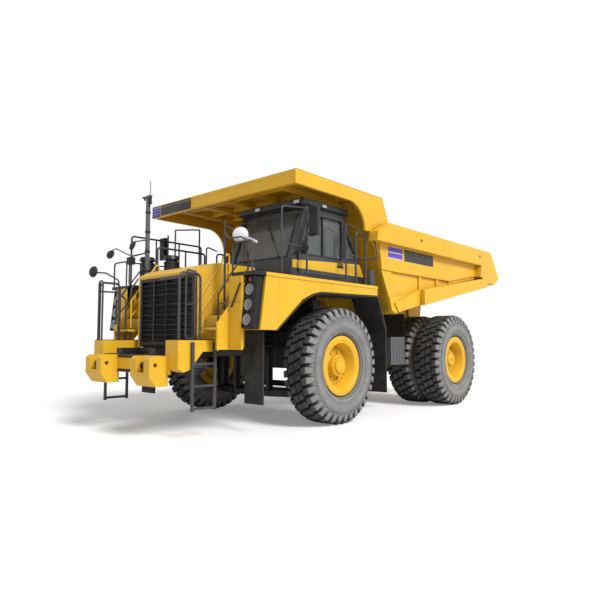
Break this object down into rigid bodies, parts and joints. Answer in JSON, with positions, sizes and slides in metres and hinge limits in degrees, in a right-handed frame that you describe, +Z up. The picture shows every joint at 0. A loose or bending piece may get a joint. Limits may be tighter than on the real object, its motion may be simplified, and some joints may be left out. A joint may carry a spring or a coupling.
{
  "type": "rigid mining dump truck",
  "caption": "Rigid two-axle mining dump truck with tilting bed and canopy, steered front wheels, twinned rear wheels, side cab and deck.",
  "frame": {"origin": "on the ground under the middle of the overall length, on the centre line", "axes": "+X to the truck's left, +Y to its rear, +Z up"},
  "size_m": [4.594, 10.15, 4.7599],
  "materials": {
    "yellow_paint": "semi-gloss",
    "bed_paint": "semi-gloss",
    "black_paint": "satin",
    "grey_paint": "satin",
    "cab_paint": "satin",
    "trim_plastic": "matte",
    "seat_fabric": "matte",
    "glass": "clear",
    "tyre": "matte",
    "rod_chrome": "polished",
    "flap_rubber": "matte"
  },
  "bodies": {
    "chassis": {"air_cleaner": "black_paint", "bumper": "yellow_paint", "cab_glass": "glass", "cab_interior": "seat_fabric", "cab_roof": "cab_paint", "cab_shell": "cab_paint", "deck": "black_paint", "engine": "grey_paint", "fenders": "yellow_paint", "frame": "black_paint", "front_suspension": "black_paint", "fuel_tank": "grey_paint", "grille": "black_paint", "handrails": "grey_paint", "headlamps": "black_paint", "hood": "yellow_paint", "hydraulic_tank": "grey_paint", "ladders": "grey_paint", "mast": "grey_paint", "mirrors": "trim_plastic", "mudguards": "flap_rubber", "radiator": "black_paint", "rear_axle": "black_paint", "rear_suspension": "black_paint", "stairs": "yellow_paint"},
    "bed": {"bed_floor": "bed_paint", "bed_headboard": "bed_paint", "bed_side_left": "bed_paint", "bed_side_right": "bed_paint", "bed_canopy": "bed_paint"},
    "steer_arm_left": {"knuckle_left": "black_paint"},
    "steer_arm_right": {"knuckle_right": "black_paint"},
    "wheel_front_left": {"front_tyre_left": "tyre", "front_rim_left": "yellow_paint"},
    "wheel_front_right": {"front_tyre_right": "tyre", "front_rim_right": "yellow_paint"},
    "wheels_rear_left": {"rear_tyres_left": "tyre", "rear_rims_left": "yellow_paint"},
    "wheels_rear_right": {"rear_tyres_right": "tyre", "rear_rims_right": "yellow_paint"},
    "cab_door_left": {"door_left": "cab_paint", "door_glass_left": "glass"},
    "cab_door_right": {"door_right": "cab_paint", "door_glass_right": "glass"},
    "hoist_a_barrel": {"hoist_barrel_left": "yellow_paint"},
    "hoist_a_stage": {"hoist_stage_left": "rod_chrome"},
    "hoist_a_rod": {"hoist_rod_left": "rod_chrome"},
    "hoist_b_barrel": {"hoist_barrel_right": "yellow_paint"},
    "hoist_b_stage": {"hoist_stage_right": "rod_chrome"},
    "hoist_b_rod": {"hoist_rod_right": "rod_chrome"},
    "steer_a_barrel": {"steer_barrel_left": "black_paint"},
    "steer_a_rod": {"steer_rod_left": "rod_chrome"},
    "steer_b_barrel": {"steer_barrel_right": "black_paint"},
    "steer_b_rod": {"steer_rod_right": "rod_chrome"}
  },
  "joints": [
    {"name": "bed_tilt", "type": "hinge", "parent": "chassis", "child": "bed", "pos_m": [0, 3.475, 1.85], "axis": [-1, 0, 0], "range_deg": [0, 48]},
    {"name": "steer_left", "type": "hinge", "parent": "chassis", "child": "steer_arm_left", "pos_m": [1.29, -1.675, 1.065], "axis": [0, 0, 1], "range_deg": [-39, 39]},
    {"name": "steer_right", "type": "hinge", "parent": "chassis", "child": "steer_arm_right", "pos_m": [-1.29, -1.675, 1.065], "axis": [0, 0, 1], "range_deg": [-39, 39]},
    {"name": "roll_front_left", "type": "hinge", "parent": "steer_arm_left", "child": "wheel_front_left", "pos_m": [1.757, -1.675, 1.065], "axis": [1, 0, 0], "continuous": true},
    {"name": "roll_front_right", "type": "hinge", "parent": "steer_arm_right", "child": "wheel_front_right", "pos_m": [-1.757, -1.675, 1.065], "axis": [1, 0, 0], "continuous": true},
    {"name": "roll_rear_left", "type": "hinge", "parent": "chassis", "child": "wheels_rear_left", "pos_m": [1.54, 2.625, 1.065], "axis": [1, 0, 0], "continuous": true},
    {"name": "roll_rear_right", "type": "hinge", "parent": "chassis", "child": "wheels_rear_right", "pos_m": [-1.54, 2.625, 1.065], "axis": [1, 0, 0], "continuous": true},
    {"name": "door_left_hinge", "type": "hinge", "parent": "chassis", "child": "cab_door_left", "pos_m": [1.822, -2.675, 3], "axis": [0, 0, -1], "range_deg": [0, 70]},
    {"name": "door_right_hinge", "type": "hinge", "parent": "chassis", "child": "cab_door_right", "pos_m": [0.178, -2.675, 3], "axis": [0, 0, 1], "range_deg": [0, 70]},
    {"name": "hoist_a_swing", "type": "hinge", "parent": "chassis", "child": "hoist_a_barrel", "pos_m": [0.715, 1.375, 0.95], "axis": [-1, 0, 0], "range_deg": [0, 19.13]},
    {"name": "hoist_a_stage_slide", "type": "slide", "parent": "hoist_a_barrel", "child": "hoist_a_stage", "axis": [0, 0, 1], "range_m": [0, 0.8096]},
    {"name": "hoist_a_rod_slide", "type": "slide", "parent": "hoist_a_stage", "child": "hoist_a_rod", "axis": [0, 0, 1], "range_m": [0, 0.8096]},
    {"name": "steer_a_swing", "type": "hinge", "parent": "chassis", "child": "steer_a_barrel", "pos_m": [0.56, -1.195, 0.711], "axis": [0, 0, 1], "range_deg": [-5.38, 5.38]},
    {"name": "steer_a_slide", "type": "slide", "parent": "steer_a_barrel", "child": "steer_a_rod", "axis": [0.9795, -0.2013, 0], "range_m": [-0.2019, 0.2019]},
    {"name": "hoist_b_swing", "type": "hinge", "parent": "chassis", "child": "hoist_b_barrel", "pos_m": [-0.715, 1.375, 0.95], "axis": [-1, 0, 0], "range_deg": [0, 19.13]},
    {"name": "hoist_b_stage_slide", "type": "slide", "parent": "hoist_b_barrel", "child": "hoist_b_stage", "axis": [0, 0, 1], "range_m": [0, 0.8096]},
    {"name": "hoist_b_rod_slide", "type": "slide", "parent": "hoist_b_stage", "child": "hoist_b_rod", "axis": [0, 0, 1], "range_m": [0, 0.8096]},
    {"name": "steer_b_swing", "type": "hinge", "parent": "chassis", "child": "steer_b_barrel", "pos_m": [-0.56, -1.195, 0.711], "axis": [0, 0, 1], "range_deg": [-5.38, 5.38]},
    {"name": "steer_b_slide", "type": "slide", "parent": "steer_b_barrel", "child": "steer_b_rod", "axis": [-0.9795, -0.2013, 0], "range_m": [-0.2019, 0.2019]}
  ],
  "couplings": [
    {"joint": "steer_right", "follows": "steer_left", "ratio": 1},
    {"joint": "hoist_a_swing", "follows": "bed_tilt", "ratio": 0.39639},
    {"joint": "hoist_a_stage_slide", "follows": "bed_tilt", "m_per_rad": 0.96397},
    {"joint": "hoist_a_rod_slide", "follows": "bed_tilt", "m_per_rad": 0.96397},
    {"joint": "steer_a_swing", "follows": "steer_left", "ratio": -0.12514},
    {"joint": "steer_a_slide", "follows": "steer_left", "m_per_rad": -0.29074},
    {"joint": "hoist_b_swing", "follows": "bed_tilt", "ratio": 0.39639},
    {"joint": "hoist_b_stage_slide", "follows": "bed_tilt", "m_per_rad": 0.96397},
    {"joint": "hoist_b_rod_slide", "follows": "bed_tilt", "m_per_rad": 0.96397},
    {"joint": "steer_b_swing", "follows": "steer_left", "ratio": -0.12514},
    {"joint": "steer_b_slide", "follows": "steer_left", "m_per_rad": 0.29074}
  ]
}
